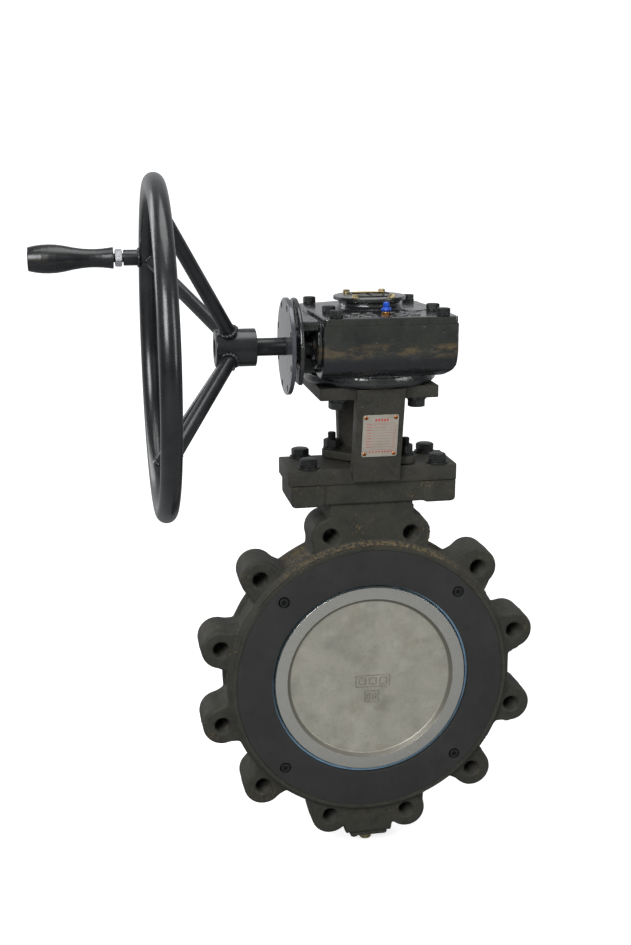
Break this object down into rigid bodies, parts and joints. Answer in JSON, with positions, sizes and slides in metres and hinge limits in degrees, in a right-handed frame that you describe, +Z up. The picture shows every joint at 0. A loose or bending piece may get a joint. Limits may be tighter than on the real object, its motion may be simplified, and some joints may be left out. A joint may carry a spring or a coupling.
{
  "type": "butterfly valve",
  "caption": "Lugged double-offset butterfly valve with a worm gear operator on a yoke and a dished handwheel with a revolving handle.",
  "frame": {"origin": "on the rear gasket face, which holds the valve, 144 mm straight above the pipe axis; the pipe axis runs through (0, y, -0.144) and the body's mid-plane is y = -0.0355", "axes": "+Z up along the stem towards the operator, Y along the pipe with the seat-retainer face at -Y, handwheel towards -X"},
  "size_m": [0.5688, 0.362, 0.8031],
  "materials": {
    "body": "matt dark olive-grey phosphate coating over fine cast grain",
    "retainer": "machined, dark grey conversion coating, satin",
    "seat": "pale blue filled PTFE, satin",
    "disc": "cast stainless steel, blasted face, polished sealing edge",
    "steel": "ground bright steel",
    "black_oxide": "black oxide, lightly oiled",
    "enamel": "glossy black enamel over a casting",
    "bronze": "plain bronze",
    "graphite": "matt graphite",
    "zinc": "bright zinc plate",
    "yellow_zinc": "yellow passivated zinc plate",
    "nameplate": "satin metal plate with faint printed rules",
    "blue_cap": "blue moulded cap",
    "wheel_paint": "satin-gloss black paint",
    "grip": "glossy black phenolic"
  },
  "bodies": {
    "valve": {"bottom_cover": "body", "bottom_cover_screw_1": "black_oxide", "bottom_cover_screw_2": "black_oxide", "bottom_gasket": "graphite", "bottom_plug": "yellow_zinc", "bracket_bolt_1": "black_oxide", "bracket_bolt_2": "black_oxide", "bracket_bolt_3": "black_oxide", "bracket_bolt_4": "black_oxide", "cover_bolt_1": "black_oxide", "cover_bolt_2": "black_oxide", "cover_bolt_3": "black_oxide", "cover_bolt_4": "black_oxide", "cover_bolt_5": "black_oxide", "cover_bolt_6": "black_oxide", "gear_housing": "enamel", "gearbox_bolt_1": "black_oxide", "gearbox_bolt_2": "black_oxide", "gearbox_bolt_3": "black_oxide", "gearbox_bolt_4": "black_oxide", "gland_flange": "body", "gland_nut_1": "black_oxide", "gland_nut_2": "black_oxide", "gland_stud_1": "black_oxide", "gland_stud_2": "black_oxide", "grease_nipple": "blue_cap", "housing_cover": "enamel", "indicator_cap": "enamel", "input_flange": "enamel", "lower_bearing": "bronze", "nameplate": "nameplate", "packing_gland": "steel", "packing_set": "graphite", "retainer_ring": "retainer", "retainer_screw_1": "black_oxide", "retainer_screw_2": "black_oxide", "retainer_screw_3": "black_oxide", "retainer_screw_4": "black_oxide", "seat_ring": "seat", "stop_screw_1": "black_oxide", "stop_screw_2": "black_oxide", "upper_bearing": "bronze", "valve_body": "body", "worm_bearing_1": "steel", "worm_bearing_2": "steel", "worm_end_cover": "enamel", "yoke_bracket": "body"},
    "disc_assembly": {"disc": "disc", "stem": "steel", "disc_pin_1": "steel", "disc_pin_2": "steel", "stem_key": "steel", "gear_sector": "bronze", "position_pointer": "steel"},
    "handwheel_assembly": {"worm_shaft": "steel", "handwheel": "wheel_paint", "handwheel_pin": "steel", "handle_spindle": "black_oxide", "handle_nut": "zinc"},
    "handle": {"handle_grip": "grip"}
  },
  "joints": [
    {"name": "disc_turn", "type": "hinge", "parent": "valve", "child": "disc_assembly", "pos_m": [0.0015, -0.0355, -0.144], "axis": [0, 0, -1], "range_deg": [0, 90]},
    {"name": "handwheel_spin", "type": "hinge", "parent": "valve", "child": "handwheel_assembly", "pos_m": [0, -0.0985, 0.2565], "axis": [1, 0, 0], "range_deg": [-3060, 0]},
    {"name": "handle_spin", "type": "hinge", "parent": "handwheel_assembly", "child": "handle", "pos_m": [0, 0.0515, 0.3405], "axis": [1, 0, 0], "continuous": true}
  ],
  "couplings": [
    {"joint": "disc_turn", "follows": "handwheel_spin", "ratio": -0.029412}
  ]
}
